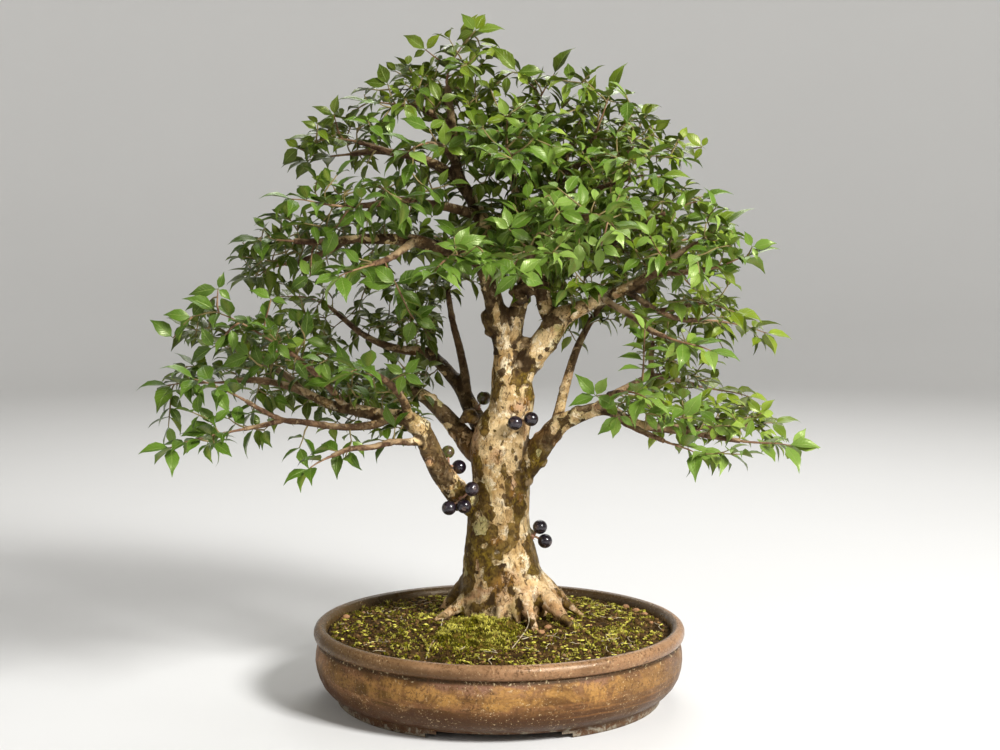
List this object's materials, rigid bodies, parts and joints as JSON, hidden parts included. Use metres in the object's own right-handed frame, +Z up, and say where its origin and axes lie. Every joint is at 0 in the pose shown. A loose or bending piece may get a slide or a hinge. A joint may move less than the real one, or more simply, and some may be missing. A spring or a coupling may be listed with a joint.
{
  "type": "bonsai tree in a pot",
  "caption": "Jaboticaba bonsai with a thick flared trunk, spreading limbs, small glossy leaves and dark berries on its bark, in a low round brown-glazed pot on a stepped foot.",
  "frame": {"origin": "under the middle of the whole object's box, on the surface that the pot stands on", "axes": "+Z up along the trunk; +Y from the front to the back of the tree, the shortest side of its box; +X to the right as seen from the front"},
  "size_m": [0.7061, 0.5009, 0.7337],
  "materials": {
    "glaze": "glossy",
    "soil": "matte, granular",
    "moss": "matte, fuzzy",
    "bark": "matte, peeling",
    "berry": "glossy",
    "leaf": "satin"
  },
  "bodies": {
    "root": {"berries_back": "berry", "berries_crotch": "berry", "berries_left_limb": "berry", "berries_trunk_front": "berry", "berries_trunk_side": "berry", "moss_mound": "moss", "pot": "glaze", "soil": "soil", "spray_back_high": "leaf", "spray_back_left": "leaf", "spray_back_middle": "leaf", "spray_back_right": "leaf", "spray_fork_right": "leaf", "spray_front_high": "leaf", "spray_front_high_left": "leaf", "spray_front_left": "leaf", "spray_front_low_left": "leaf", "spray_front_low_right": "leaf", "spray_front_middle": "leaf", "spray_front_right": "leaf", "spray_leader_far_right": "leaf", "spray_leader_left": "leaf", "spray_leader_middle": "leaf", "spray_leader_right": "leaf", "spray_left_back": "leaf", "spray_left_back_stem": "leaf", "spray_left_back_twig": "leaf", "spray_left_high": "leaf", "spray_left_high_front": "leaf", "spray_left_high_up": "leaf", "spray_left_low": "leaf", "spray_left_low_back": "leaf", "spray_left_low_fork": "leaf", "spray_left_low_fork_down": "leaf", "spray_left_low_front": "leaf", "spray_left_low_up": "leaf", "spray_left_middle": "leaf", "spray_left_top": "leaf", "spray_left_top_up": "leaf", "spray_left_upper": "leaf", "spray_left_upper_front": "leaf", "spray_left_upper_low": "leaf", "spray_right_back": "leaf", "spray_right_back_stem": "leaf", "spray_right_hanging": "leaf", "spray_right_low": "leaf", "spray_right_low_front": "leaf", "spray_right_low_stem": "leaf", "spray_right_low_up": "leaf", "spray_right_side": "leaf", "spray_right_spreading": "leaf", "spray_right_spreading_up": "leaf", "spray_right_top": "leaf", "spray_right_top_front": "leaf", "spray_right_top_up": "leaf", "spray_right_upper": "leaf", "spray_right_upper_front": "leaf", "trunk": "bark"}
  },
  "joints": []
}
